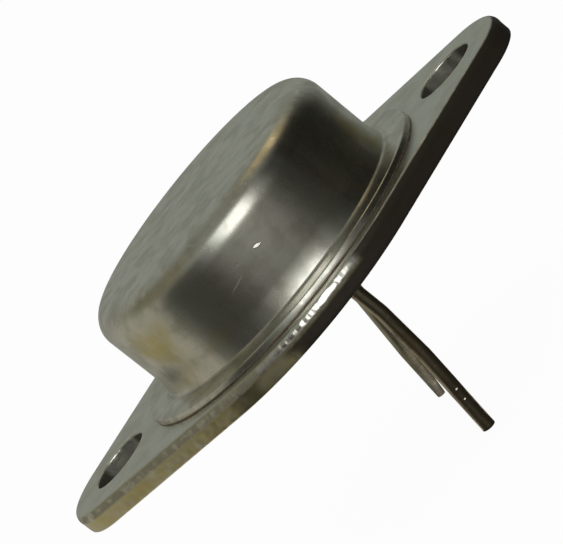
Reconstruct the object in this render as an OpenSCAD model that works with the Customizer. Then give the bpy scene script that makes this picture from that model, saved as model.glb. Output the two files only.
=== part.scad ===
// Metal-can power transistor with a two-hole mounting plate and two leads.
// Millimetres. The origin is the centre of the plate's underside, where the part seats
// on its heatsink. +Z runs up the axis of the can, +X runs along the row of mounting
// holes, towards the hole that the leads are nearer to.

/* [Can] */
// Outside diameter of the can's straight wall
can_d = 19.45; // [15:0.05:24]
// Height of the can's crown above the seating face
crown_h = 8.4; // [7:0.1:11]
// Thickness of the drawn sheet
sheet_t = 0.4; // [0.25:0.05:0.6]
// Outside radius between the wall and the top
shoulder_r = 1.6; // [1:0.1:2.5]
// How far the middle of the top stands above its rim
crown_rise = 0.15; // [0.05:0.05:0.4]
// Height above the lip at which the wall starts to flare
flare_h = 1.46; // [1:0.02:1.8]
// Outside radius of the flare
flare_r = 4.7; // [3.5:0.1:8]
// Outside radius between the flare and the welded lip
root_r = 0.2; // [0.1:0.05:0.4]
// Width of the lip, from the wall to its edge
lip_w = 2; // [1.8:0.05:2.6]
// Radius on the top of the lip's edge
lip_edge_r = 0.15; // [0.1:0.05:0.35]

/* [Weld] */
// Height of the collapsed weld between the lip and the plate
weld_t = 0.06; // [0.05:0.01:0.3]
// Width of the weld
weld_w = 0.8; // [0.4:0.05:1]
// Distance from the edge of the lip in to the weld
weld_inset = 0.3; // [0.1:0.05:0.5]

/* [Mounting plate] */
// Thickness of the plate
plate_t = 1.5; // [1.2:0.05:2.5]
// Width of the plate outside the lip
plate_margin = 1.025; // [0.8:0.025:2]
// Diameter of each mounting hole
mount_hole_d = 4.1; // [3:0.05:5]
// Width of the plate between the lip and a mounting hole
hole_land = 1.3; // [0.8:0.05:3]
// Width of the plate around the outside of a mounting hole
end_wall = 2.3; // [1.8:0.05:3.5]
// Radius that the punch rolls on the plate's top edge
edge_roll_r = 0.5; // [0.2:0.05:0.7]
// Break on the plate's bottom edge
edge_break = 0.08; // [0.05:0.01:0.2]
// Radius that the punch rolls on the mouth of each mounting hole
mouth_roll_r = 0.15; // [0.1:0.05:0.5]

/* [Glass seals] */
// Diameter of each glass bead
seal_d = 3; // [2.4:0.1:3.8]
// Depth of the dish that each face of a bead sinks to
seal_dish = 0.15; // [0.05:0.05:0.3]

/* [Leads] */
// Diameter of the lead wire
lead_d = 0.9; // [0.75:0.05:1.2]
// Distance between the leads
lead_pitch = 10.92; // [9:0.02:13.2]
// Distance of the row of leads from the middle of the can
lead_offset = 2.08; // [1.5:0.02:3]
// Length of each lead below the seating face, measured along its wire
lead_len = 13.1; // [10:0.1:16]
// Radius of each bend, to the middle of the wire
bend_r = 4; // [2:0.5:6]
// Base lead: straight length before its first bend
base_root = 3.4; // [0.5:0.1:5]
// Base lead: angle of its first bend
base_bend_1 = 5.3; // [1:0.1:12]
// Base lead: straight length between its bends
base_mid = 3.3; // [1:0.1:4]
// Base lead: angle of its second bend
base_bend_2 = 3.6; // [1:0.1:12]
// Emitter lead: straight length before its bend
emitter_root = 0.4; // [0.2:0.1:5]
// Emitter lead: angle of its bend
emitter_bend = 11.4; // [1:0.1:20]
// Emitter lead: length of its tapered end
taper_len = 3.6; // [1:0.1:6]
// Emitter lead: diameter at its cut tip
tip_d = 0.56; // [0.4:0.02:0.7]

/* [Posts] */
// Height of the leads' inner ends above the plate
post_h = 2.1; // [1.6:0.1:2.6]
// Diameter of the flat head that a bond wire lands on
head_d = 1.8; // [1.4:0.1:2.4]
// Thickness of the head
head_t = 0.35; // [0.2:0.05:0.6]

/* [Heat spreader] */
// Diameter of the copper disc
spreader_d = 8.6; // [7.2:0.1:10.4]
// Thickness of the copper disc
spreader_t = 1; // [0.6:0.1:1.6]
// Clearance between the disc and each glass bead, measured in plan
spreader_gap = 0.95; // [0.2:0.05:1.5]
// Thickness of the braze under the disc
braze_t = 0.05; // [0.03:0.01:0.1]
// How far the braze shows around the disc
braze_fillet = 0.2; // [0.1:0.05:0.4]

/* [Die] */
// Width of the square silicon die
die_w = 4.3; // [3.4:0.1:5.4]
// Thickness of the die
die_t = 0.3; // [0.2:0.05:0.5]
// Width of the moat etched around the die's active area
moat_w = 0.18; // [0.1:0.02:0.3]
// Depth of the moat
moat_t = 0.08; // [0.04:0.01:0.15]
// Thickness of the solder under the die
solder_t = 0.06; // [0.03:0.01:0.1]
// How far the solder shows around the die
solder_fillet = 0.15; // [0.1:0.05:0.3]
// Number of emitter fingers; the base has one fewer, between them
finger_n = 6; // [4:1:9]
// Gap between neighbouring strips of metal
finger_gap = 0.12; // [0.06:0.01:0.16]
// Width of the bus bar that the fingers run into
bus_w = 0.8; // [0.6:0.05:1]
// Thickness of the metal
metal_t = 0.04; // [0.02:0.01:0.08]
// Distance from the moat to the metal
metal_inset = 0.1; // [0.05:0.01:0.2]

/* [Bond wires] */
// Diameter of the bond wire
wire_d = 0.38; // [0.25:0.01:0.45]
// Distance between the two emitter wires, along X
wire_pitch = 0.85; // [0.75:0.05:0.95]
// Height of a wire's loop above the line between its ends
loop_h = 1.15; // [0.8:0.05:1.6]
// Length of the flattened foot at each end of a wire
foot_len = 0.75; // [0.6:0.05:0.9]
// Width of the foot
foot_w = 0.55; // [0.4:0.05:0.6]
// Thickness of the foot
foot_t = 0.22; // [0.15:0.01:0.3]

/* [Hidden] */
$fn = 96;
// The crown is a slice of a very large circle, so it needs more steps than the rest
crown_fn = 1440;
overrun = 1;
// The wire fattens by this much in a bend, and its straight runs end inside the bend
bend_swell = 0.004;
bend_entry = 0.05;
// The bend at the can's foot stands out of the flare by this much, so their circles cross
bend_slip = 0.0005;

can_r = can_d / 2;
lip_r = can_r + lip_w;
lip_edge_x = lip_r - lip_edge_r;
lead_r = lead_d / 2;
seal_r = seal_d / 2;
mount_hole_r = mount_hole_d / 2;
spreader_r = spreader_d / 2;
wire_r = wire_d / 2;

// Outline of the plate: a wide middle about the can, and an end about each hole
plate_mid_r = lip_r + plate_margin;
plate_end_r = mount_hole_r + end_wall;
hole_x = lip_r + hole_land + mount_hole_r;
flank_len = sqrt(pow(hole_x, 2) - pow(plate_mid_r - plate_end_r, 2));
flank_angle = atan2(flank_len, plate_mid_r - plate_end_r);

// Heights of the stack, from the seating face up
lip_z = plate_t + weld_t;
lip_top_z = lip_z + sheet_t;
braze_z = plate_t;
spreader_z = braze_z + braze_t;
solder_z = spreader_z + spreader_t;
die_z = solder_z + solder_t;
metal_z = die_z + die_t;
bond_z = metal_z + metal_t;
head_top_z = plate_t + post_h;

// The crown's circle touches the shoulder's circle inside, so the two blend
shoulder_x = can_r - shoulder_r;
crown_r = (pow(can_r, 2) + pow(crown_rise, 2)) / (2 * crown_rise);
crown_centre_z = crown_h - crown_r;
shoulder_z = crown_centre_z + sqrt(pow(crown_r - shoulder_r, 2) - pow(shoulder_x, 2));

// The wall's flare ends at this angle, where its circle touches the bend's inside
flare_x = can_r + flare_r;
flare_z = lip_top_z + flare_h;
bend_z = lip_top_z + root_r;
flare_angle = asin((flare_z - bend_z) / (flare_r - root_r));
bend_x = flare_x - (flare_r - root_r) * cos(flare_angle) - bend_slip;

// The spreader stands beside the leads, as close as its clearance to the beads allows
spreader_reach = spreader_r + spreader_gap + seal_r;
spreader_x = lead_offset - sqrt(max(0, pow(spreader_reach, 2) - pow(lead_pitch / 2, 2)));

// Metal pattern on the die: every other strip is an emitter finger
metal_w = die_w - 2 * (moat_w + metal_inset);
strip_pitch = (metal_w + finger_gap) / (2 * finger_n - 1);
finger_w = strip_pitch - finger_gap;
finger_len = metal_w - 2 * bus_w - finger_gap;
bus_y = (metal_w - bus_w) / 2;

// ---------------------------------------------------------------- mounting plate

// Section through the rim of the plate: reach is its distance from the middle
module rim_section(reach) {
    roll_x = reach - edge_roll_r;
    intersection() {
        union() {
            square([roll_x, plate_t]);
            translate([0, edge_break])
                square([reach, plate_t - edge_roll_r - edge_break]);
            translate([roll_x, plate_t - edge_roll_r])
                circle(r = edge_roll_r);
            polygon([
                [0, 0],
                [reach - edge_break, 0],
                [reach, edge_break],
                [0, edge_break]
            ]);
        }
        square([reach, plate_t]);
    }
}

module rim_disc(radius) {
    rotate_extrude()
        rim_section(radius);
}

// One straight flank, from where it leaves the middle's arc to where it meets the end's
module flank() {
    rotate([0, 0, flank_angle])
        translate([plate_mid_r - plate_end_r, 0, 0])
            rotate([90, 0, 0])
                linear_extrude(height = flank_len)
                    rim_section(plate_end_r);
}

// The flat middle between the flanks
module web() {
    corner = plate_mid_r - plate_end_r;
    linear_extrude(height = plate_t)
        polygon([
            [hole_x, 0],
            [corner * cos(flank_angle), corner * sin(flank_angle)],
            [-corner * cos(flank_angle), corner * sin(flank_angle)],
            [-hole_x, 0],
            [-corner * cos(flank_angle), -corner * sin(flank_angle)],
            [corner * cos(flank_angle), -corner * sin(flank_angle)]
        ]);
}

module plate_blank() {
    rim_disc(plate_mid_r);
    web();
    for (side = [0, 1])
        mirror([side, 0, 0]) {
            translate([hole_x, 0, 0])
                rim_disc(plate_end_r);
            flank();
            mirror([0, 1, 0])
                flank();
        }
}

// A mounting hole, with the rounded mouth that the punch leaves
module mount_hole() {
    translate([0, 0, -overrun])
        cylinder(h = plate_t + 2 * overrun, r = mount_hole_r);
    rotate_extrude()
        difference() {
            translate([0, plate_t - mouth_roll_r])
                square([mount_hole_r + mouth_roll_r, mouth_roll_r + overrun]);
            translate([mount_hole_r + mouth_roll_r, plate_t - mouth_roll_r])
                circle(r = mouth_roll_r);
        }
}

module mounting_plate() {
    color("#82837a")
        difference() {
            plate_blank();
            for (side = [-1, 1])
                translate([side * hole_x, 0, 0])
                    mount_hole();
            at_leads()
                translate([0, 0, -overrun])
                    cylinder(h = plate_t + 2 * overrun, r = seal_r);
        }
}

// ---------------------------------------------------------------- can and its weld

// Half section of the can's outside, shrunk by inset all round for its inside
module can_outline(inset) {
    tangent = crown_r / (crown_r - shoulder_r);
    tangent_x = shoulder_x * tangent;
    tangent_z = crown_centre_z + (shoulder_z - crown_centre_z) * tangent;
    square([can_r - inset, shoulder_z]);
    translate([shoulder_x, shoulder_z])
        circle(r = shoulder_r - inset);
    intersection() {
        translate([0, crown_centre_z])
            circle(r = crown_r - inset, $fn = crown_fn);
        polygon([
            [0, 0],
            [shoulder_x, 0],
            [shoulder_x, shoulder_z],
            [tangent_x, tangent_z],
            [tangent_x, crown_h + overrun],
            [0, crown_h + overrun]
        ]);
    }
}

// Half section of the space over the flare, the bend at its foot and the lip, grown by
// extra towards the sheet
module lip_outline(extra) {
    reach = 2 * (flare_r + sheet_t);
    intersection() {
        translate([flare_x, flare_z])
            circle(r = flare_r + extra);
        polygon([
            [flare_x, flare_z],
            [flare_x - reach, flare_z],
            [flare_x - reach * cos(flare_angle), flare_z - reach * sin(flare_angle)]
        ]);
    }
    translate([bend_x, bend_z])
        circle(r = root_r + extra);
    polygon([
        [bend_x, lip_top_z - extra],
        [lip_edge_x, lip_top_z - extra],
        [lip_edge_x, flare_z],
        [bend_x, flare_z]
    ]);
}

// Half section of the rounded edge of the lip
module lip_edge() {
    intersection() {
        union() {
            translate([lip_edge_x, lip_z])
                square([lip_edge_r, sheet_t - lip_edge_r]);
            translate([lip_edge_x, lip_top_z - lip_edge_r])
                circle(r = lip_edge_r);
        }
        translate([lip_edge_x, lip_z])
            square([lip_edge_r, sheet_t]);
    }
}

module can() {
    color("#6d6b60")
        rotate_extrude() {
            difference() {
                can_outline(0);
                can_outline(sheet_t);
                square([can_r + overrun, flare_z]);
                mirror([1, 0])
                    square([can_r + overrun, crown_h + overrun]);
            }
            difference() {
                lip_outline(sheet_t);
                lip_outline(0);
            }
            lip_edge();
        }
}

module weld_ring() {
    outer_r = lip_r - weld_inset;
    color("#4b4a44")
        translate([0, 0, plate_t])
            difference() {
                cylinder(h = weld_t, r = outer_r);
                translate([0, 0, -overrun])
                    cylinder(h = weld_t + 2 * overrun, r = outer_r - weld_w);
            }
}

// ---------------------------------------------------------------- leads and seals

module at_base_lead() {
    translate([lead_offset, -lead_pitch / 2, 0])
        children();
}

module at_emitter_lead() {
    translate([lead_offset, lead_pitch / 2, 0])
        children();
}

module at_leads() {
    at_base_lead()
        children();
    at_emitter_lead()
        children();
}

// Half section of a bead: flush at the plate, dished towards the lead
module seal_section() {
    polygon([
        [lead_r, seal_dish],
        [(lead_r + seal_r) / 2, seal_dish],
        [seal_r, 0],
        [seal_r, plate_t],
        [(lead_r + seal_r) / 2, plate_t - seal_dish],
        [lead_r, plate_t - seal_dish]
    ]);
}

module glass_seal() {
    color("#3b4a46")
        rotate_extrude()
            seal_section();
}

module base_glass_seal() {
    at_base_lead()
        glass_seal();
}

module emitter_glass_seal() {
    at_emitter_lead()
        glass_seal();
}

// The flat head at the inner end of a lead
module head() {
    translate([0, 0, head_top_z - head_t])
        cylinder(h = head_t, r = head_d / 2);
}

// A straight run of wire down -Z from above its frame to below its length, and then
// children() where the length ends
module run(length, above = bend_entry, below = bend_entry) {
    translate([0, 0, -length - below])
        cylinder(h = above + length + below, r = lead_r);
    translate([0, 0, -length])
        children();
}

// A bend towards -X, and then children() in the frame that the wire leaves it in
module bend(angle) {
    translate([-bend_r, 0, 0]) {
        rotate([-90, 0, 0])
            rotate_extrude(angle = angle)
                translate([bend_r, 0])
                    circle(r = lead_r + bend_swell);
        rotate([0, angle, 0])
            translate([bend_r, 0, 0])
                children();
    }
}

function bend_len(angle) = bend_r * angle * PI / 180;

module base_lead() {
    used = base_root + base_mid + bend_len(base_bend_1) + bend_len(base_bend_2);
    color("#4a4438")
        at_base_lead() {
            head();
            run(base_root, above = head_top_z)
                bend(base_bend_1)
                    run(base_mid)
                        bend(base_bend_2)
                            run(lead_len - used, below = 0);
        }
}

module emitter_lead() {
    used = emitter_root + bend_len(emitter_bend) + taper_len;
    color("#57513f")
        at_emitter_lead() {
            head();
            run(emitter_root, above = head_top_z)
                bend(emitter_bend)
                    run(lead_len - used, below = 0)
                        translate([0, 0, -taper_len])
                            cylinder(h = taper_len, r1 = tip_d / 2, r2 = lead_r);
        }
}

// ---------------------------------------------------------------- heat spreader and die

module at_spreader(z) {
    translate([spreader_x, 0, z])
        children();
}

module spreader_braze() {
    color("#b9a25a")
        at_spreader(braze_z)
            cylinder(h = braze_t, r = spreader_r + braze_fillet);
}

module heat_spreader() {
    color("#b4683c")
        at_spreader(spreader_z)
            cylinder(h = spreader_t, r = spreader_r);
}

module slab(width, thickness) {
    translate([-width / 2, -width / 2, 0])
        cube([width, width, thickness]);
}

module die_solder() {
    color("#a9abad")
        at_spreader(solder_z)
            slab(die_w + 2 * solder_fillet, solder_t);
}

module silicon_die() {
    color("#3f4450")
        at_spreader(die_z) {
            slab(die_w, die_t - moat_t);
            slab(die_w - 2 * moat_w, die_t);
        }
}

// A comb of strips, with its bus bar along -Y and its first finger at strip number first
module comb(count, first) {
    linear_extrude(height = metal_t)
        translate([-metal_w / 2, -metal_w / 2]) {
            square([metal_w, bus_w]);
            for (i = [0 : count - 1])
                translate([(first + 2 * i) * strip_pitch, bus_w / 2])
                    square([finger_w, bus_w / 2 + finger_len]);
        }
}

module base_metal() {
    color("#c8c9c4")
        at_spreader(metal_z)
            comb(finger_n - 1, 1);
}

module emitter_metal() {
    color("#d2d2cd")
        at_spreader(metal_z)
            mirror([0, 1, 0])
                comb(finger_n, 0);
}

// ---------------------------------------------------------------- bond wires

// The flattened foot of a wire, lying along X
module foot() {
    straight = foot_len - foot_w;
    translate([-straight / 2, -foot_w / 2, 0])
        cube([straight, foot_w, foot_t]);
    for (end = [-1, 1])
        translate([end * straight / 2, 0, 0])
            cylinder(h = foot_t, r = foot_w / 2);
}

// A wire looped from the die's metal to the head of a post. Both ends are [x, y].
module bond_wire(from, to) {
    plan = to - from;
    span = norm(plan);
    climb = head_top_z - bond_z;
    chord = norm([span, climb]);
    slope = atan2(climb, span);
    loop_r = (pow(chord / 2, 2) + pow(loop_h, 2)) / (2 * loop_h);
    half_angle = asin(chord / (2 * loop_r));
    depth = loop_r - loop_h;
    color("#dcdcd8")
        translate([from[0], from[1], bond_z])
            rotate([0, 0, atan2(plan[1], plan[0])]) {
                foot();
                translate([span, 0, climb])
                    foot();
                translate([0, 0, wire_r]) {
                    sphere(r = wire_r);
                    translate([span, 0, climb])
                        sphere(r = wire_r);
                    translate([span / 2 + depth * sin(slope), 0, climb / 2 - depth * cos(slope)])
                        rotate([90, 0, 0])
                            rotate([0, 0, 90 + slope - half_angle])
                                rotate_extrude(angle = 2 * half_angle)
                                    translate([loop_r, 0])
                                        circle(r = wire_r);
                }
            }
}

// Where a wire starts on a bus bar, and where it ends on a post. side is 1 on the
// emitter's side and -1 on the base's, and aside moves the wire along X.
function bond_start(side, aside) = [spreader_x + metal_w / 4 + aside, side * bus_y];
function bond_end(side, aside) = [lead_offset + aside, side * lead_pitch / 2];

module emitter_wire_inner() {
    bond_wire(bond_start(1, -wire_pitch / 2), bond_end(1, -wire_pitch / 2));
}

module emitter_wire_outer() {
    bond_wire(bond_start(1, wire_pitch / 2), bond_end(1, wire_pitch / 2));
}

module base_wire() {
    bond_wire(bond_start(-1, 0), bond_end(-1, 0));
}

mounting_plate();
weld_ring();
can();
base_glass_seal();
emitter_glass_seal();
base_lead();
emitter_lead();
spreader_braze();
heat_spreader();
die_solder();
silicon_die();
emitter_metal();
base_metal();
base_wire();
emitter_wire_inner();
emitter_wire_outer();
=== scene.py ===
"""Looks of a metal-can power transistor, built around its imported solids.

The can, the plate, the weld, the glass and both leads get finer skins that lie on their solids;
the parts sealed inside keep their solids and get finishes. Lengths are in millimetres in the
classes and in metres in the meshes. Angles are in degrees.
"""

import logging
import math
from dataclasses import dataclass, field, replace
from enum import Enum
from typing import Callable, Sequence

import bpy
from mathutils import Matrix, Vector, noise
from mathutils.geometry import delaunay_2d_cdt


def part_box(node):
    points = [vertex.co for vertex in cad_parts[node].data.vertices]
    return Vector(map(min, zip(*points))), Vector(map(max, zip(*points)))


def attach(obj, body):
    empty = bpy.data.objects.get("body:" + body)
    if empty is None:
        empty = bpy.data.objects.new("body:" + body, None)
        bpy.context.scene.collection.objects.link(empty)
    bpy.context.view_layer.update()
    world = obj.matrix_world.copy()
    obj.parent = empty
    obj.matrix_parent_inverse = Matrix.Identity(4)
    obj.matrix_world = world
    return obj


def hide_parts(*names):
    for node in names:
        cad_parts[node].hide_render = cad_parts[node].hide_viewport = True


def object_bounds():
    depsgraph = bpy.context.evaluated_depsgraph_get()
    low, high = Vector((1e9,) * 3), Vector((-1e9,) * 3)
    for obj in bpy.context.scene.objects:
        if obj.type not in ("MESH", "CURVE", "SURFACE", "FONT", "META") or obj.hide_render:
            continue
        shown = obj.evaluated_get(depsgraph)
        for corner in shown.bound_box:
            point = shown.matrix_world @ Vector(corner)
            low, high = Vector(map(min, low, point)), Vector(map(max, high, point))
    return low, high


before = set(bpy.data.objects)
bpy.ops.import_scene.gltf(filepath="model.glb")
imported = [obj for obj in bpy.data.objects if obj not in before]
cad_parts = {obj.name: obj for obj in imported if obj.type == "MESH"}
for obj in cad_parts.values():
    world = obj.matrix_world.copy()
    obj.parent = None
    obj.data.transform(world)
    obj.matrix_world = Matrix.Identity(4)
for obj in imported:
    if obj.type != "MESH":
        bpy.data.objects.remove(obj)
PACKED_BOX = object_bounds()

MM = 0.001
ROOT_BODY = "root"
# Marks per point: edge wear, soil and painted shade, and the discoloured band.
LAYERS = ("edge", "soil", "band")
BARE = (0.0, 0.0, 0.0)
CREASE = 40.0

Colour = tuple[float, float, float]
Marks = tuple[float, float, float]
Profile = list[tuple[float, float]]
Span = tuple[float, float]

log = logging.getLogger("transistor")


# ---- small maths


def smooth(low: float, high: float, value: float) -> float:
    """Goes smoothly from 0 at low to 1 at high, which may be the smaller.

    Args:
        low: Value at and before which it is 0.
        high: Value at and past which it is 1.
        value: Where to read it.

    Returns:
        A number from 0 to 1.
    """
    step = min(1.0, max(0.0, (value - low) / (high - low)))
    return step * step * (3.0 - 2.0 * step)


def arc(centre: tuple[float, float], radius: float, start: float, end: float, steps: int) -> Profile:
    """Points on an arc of a half section.

    Args:
        centre: Its centre, as distance from the axis and height.
        radius: Its radius.
        start: Angle of the first point, from the outward direction up.
        end: Angle of the last point.
        steps: Number of chords.

    Returns:
        The points, both ends included.
    """
    turns = [math.radians(start + (end - start) * i / steps) for i in range(steps + 1)]
    return [(centre[0] + radius * math.cos(t), centre[1] + radius * math.sin(t)) for t in turns]


def line(start: tuple[float, float], end: tuple[float, float], steps: int) -> Profile:
    """Points on a straight run of a half section, both ends included.

    Args:
        start: First point.
        end: Last point.
        steps: Number of equal pieces.

    Returns:
        The points.
    """
    return [
        (start[0] + (end[0] - start[0]) * i / steps, start[1] + (end[1] - start[1]) * i / steps)
        for i in range(steps + 1)
    ]


def chain(*runs: Profile) -> Profile:
    """Joins runs of points end to end, and keeps each shared point once.

    Args:
        runs: The runs in order.

    Returns:
        One run.
    """
    joined: Profile = []
    for run in runs:
        for point in run:
            if not joined or math.dist(point, joined[-1]) > 1e-6:
                joined.append(point)
    return joined


def ripple(place: Vector, size: float, seed: float = 0.0) -> float:
    """Smooth random height at a place.

    Args:
        place: The place, in millimetres.
        size: Width of a swell, in millimetres.
        seed: Picks another pattern.

    Returns:
        A number from about -1 to 1.
    """
    return noise.noise(place / size + Vector((seed, seed * 1.7, seed * 0.3)))


# ---- meshes


@dataclass
class Skin:
    """A mesh laid up from loops of points, with marks at each point.

    Marks say how much of an edge a point is on, how much dirt and painted shade lie there, and how
    much of the discoloured band it is on, each from 0 to 1.
    """

    points: list[Vector] = field(default_factory=list)
    faces: list[tuple[int, ...]] = field(default_factory=list)
    marks: list[Marks] = field(default_factory=list)

    def point(self, place: Vector, marks: Marks = BARE) -> int:
        """Adds one point.

        Args:
            place: Where it is, in millimetres.
            marks: Its edge, its soil and painted shade, and its band.

        Returns:
            The point's number.
        """
        self.points.append(place)
        self.marks.append(marks)
        return len(self.points) - 1

    def bridge(self, first: Sequence[int], second: Sequence[int]) -> None:
        """Joins two closed loops of the same length with a strip of quads.

        Args:
            first: Points of one loop.
            second: Points of the other, in step with the first.
        """
        count = len(first)
        for i in range(count):
            j = (i + 1) % count
            self.faces.append((first[i], first[j], second[j], second[i]))

    def fan(self, loop: Sequence[int], tip: int, flip: bool = False) -> None:
        """Closes a loop with triangles that meet at one point.

        Args:
            loop: Points of the loop.
            tip: The point they meet at.
            flip: Turns the triangles over.
        """
        count = len(loop)
        for i in range(count):
            j = (i + 1) % count
            self.faces.append((loop[j], loop[i], tip) if flip else (loop[i], loop[j], tip))

    def build(self, name: str) -> bpy.types.Object:
        """Makes the mesh object, with edges sharper than CREASE shown sharp.

        Args:
            name: Name of the piece.

        Returns:
            The object, in the scene.
        """
        mesh = bpy.data.meshes.new(name)
        mesh.from_pydata([p * MM for p in self.points], [], self.faces)
        for i, layer in enumerate(LAYERS):
            values = [marks[i] for marks in self.marks]
            mesh.attributes.new(layer, "FLOAT", "POINT").data.foreach_set("value", values)
        mesh.polygons.foreach_set("use_smooth", [True] * len(mesh.polygons))
        mesh.set_sharp_from_angle(angle=math.radians(CREASE))
        mesh.validate()
        piece = bpy.data.objects.new(name, mesh)
        bpy.context.scene.collection.objects.link(piece)
        return piece


def settle(skin: Skin, name: str, node: str, material: bpy.types.Material) -> None:
    """Makes a piece, dresses it, puts it in the place of its solid and logs it.

    Args:
        skin: Its mesh.
        name: Its name.
        node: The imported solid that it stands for.
        material: Its finish.
    """
    piece = skin.build(name)
    piece.data.materials.append(material)
    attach(piece, ROOT_BODY)
    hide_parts(node)
    low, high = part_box(node)
    reach = max(
        max(abs(low[i] - min(v.co[i] for v in piece.data.vertices)) for i in range(3)),
        max(abs(high[i] - max(v.co[i] for v in piece.data.vertices)) for i in range(3)),
    )
    log.info("%s: %d points, %d faces, box within %.3f mm of its solid", piece.name,
             len(piece.data.vertices), len(piece.data.polygons), reach / MM)


# ---- shader graphs


class Wire:
    """A value in a shader graph. Plain arithmetic on it adds Math nodes."""

    def __init__(self, graph: "Graph", socket: bpy.types.NodeSocket) -> None:
        """Takes the graph, and the socket that the value comes from."""
        self.graph, self.socket = graph, socket

    def __add__(self, other: object) -> "Wire":
        """The sum."""
        return self.graph.math("ADD", self, other)

    def __sub__(self, other: object) -> "Wire":
        """The difference."""
        return self.graph.math("SUBTRACT", self, other)

    def __rsub__(self, other: object) -> "Wire":
        """What is left of a plain number."""
        return self.graph.math("SUBTRACT", other, self)

    def __mul__(self, other: object) -> "Wire":
        """The product."""
        return self.graph.math("MULTIPLY", self, other)

    __radd__, __rmul__ = __add__, __mul__


class Graph:
    """A node tree with short ways to add and join nodes."""

    def __init__(self, tree: bpy.types.NodeTree) -> None:
        """Takes the tree to work on."""
        self.tree = tree

    def feed(self, socket: bpy.types.NodeSocket, value: object) -> None:
        """Links a source to a socket, or sets the socket's own value.

        Args:
            socket: The input.
            value: A wire, a number, a colour or a vector.
        """
        if isinstance(value, Wire):
            self.tree.links.new(value.socket, socket)
        elif socket.type == "RGBA":
            socket.default_value = (*value, 1.0)
        else:
            socket.default_value = value

    def read(self, kind: str, inputs: dict | None = None, output: int | str = 0, **settings: object) -> Wire:
        """Adds a node and reads one of its outputs.

        Args:
            kind: Its type, without the leading ShaderNode.
            inputs: Value or source of each input, by name or number.
            output: Name or number of the output.
            settings: Its other properties.

        Returns:
            The output's value.
        """
        made = self.tree.nodes.new("ShaderNode" + kind)
        for key, value in settings.items():
            setattr(made, key, value)
        for key, value in (inputs or {}).items():
            self.feed(made.inputs[key], value)
        return Wire(self, made.outputs[output])

    def math(self, operation: str, *values: object, clamp: bool = False) -> Wire:
        """Adds a Math node.

        Args:
            operation: Its operation.
            values: Its inputs in order.
            clamp: Whether its result is kept from 0 to 1.

        Returns:
            Its result.
        """
        return self.read("Math", dict(enumerate(values)), operation=operation, use_clamp=clamp)

    def vector(self, operation: str, *values: object) -> Wire:
        """Adds a Vector Math node and reads its vector."""
        return self.read("VectorMath", dict(enumerate(values)), operation=operation)

    def noise(self, place: Wire, scale: object, detail: object = 2.0, roughness: float = 0.5) -> Wire:
        """Adds a Noise Texture node and reads its value."""
        inputs = {"Vector": place, "Scale": scale, "Detail": detail, "Roughness": roughness}
        return self.read("TexNoise", inputs)

    def blend(self, share: Wire, first: object, second: object) -> Wire:
        """Mixes two colours.

        Args:
            share: How much of the second shows.
            first: The first colour.
            second: The second colour.

        Returns:
            The mixed colour.
        """
        return self.read("Mix", {0: share, 6: first, 7: second}, 2, data_type="RGBA")

    def ramp(self, value: Wire, low: object, high: object) -> Wire:
        """Rises smoothly from 0 to 1 over a range, and holds at its ends.

        Args:
            value: The number to map.
            low: Where the range starts.
            high: Where it ends.

        Returns:
            The mapped number.
        """
        return self.read("MapRange", {"Value": value, "From Min": low, "From Max": high}, "Result",
                         interpolation_type="SMOOTHSTEP")


def new_material(name: str) -> tuple[bpy.types.Material, Graph, bpy.types.Node]:
    """Starts a material.

    Args:
        name: Its name.

    Returns:
        The material, its graph and its shader.
    """
    made = bpy.data.materials.new(name)
    made.use_nodes = True
    return made, Graph(made.node_tree), made.node_tree.nodes["Principled BSDF"]


class Effect(Enum):
    """The effects that several finishes share."""

    CLOUDS = "clouds"
    PITS = "pits"
    SCRATCHES = "scratches"
    WEAR = "wear"
    GRAIN = "grain"


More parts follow.
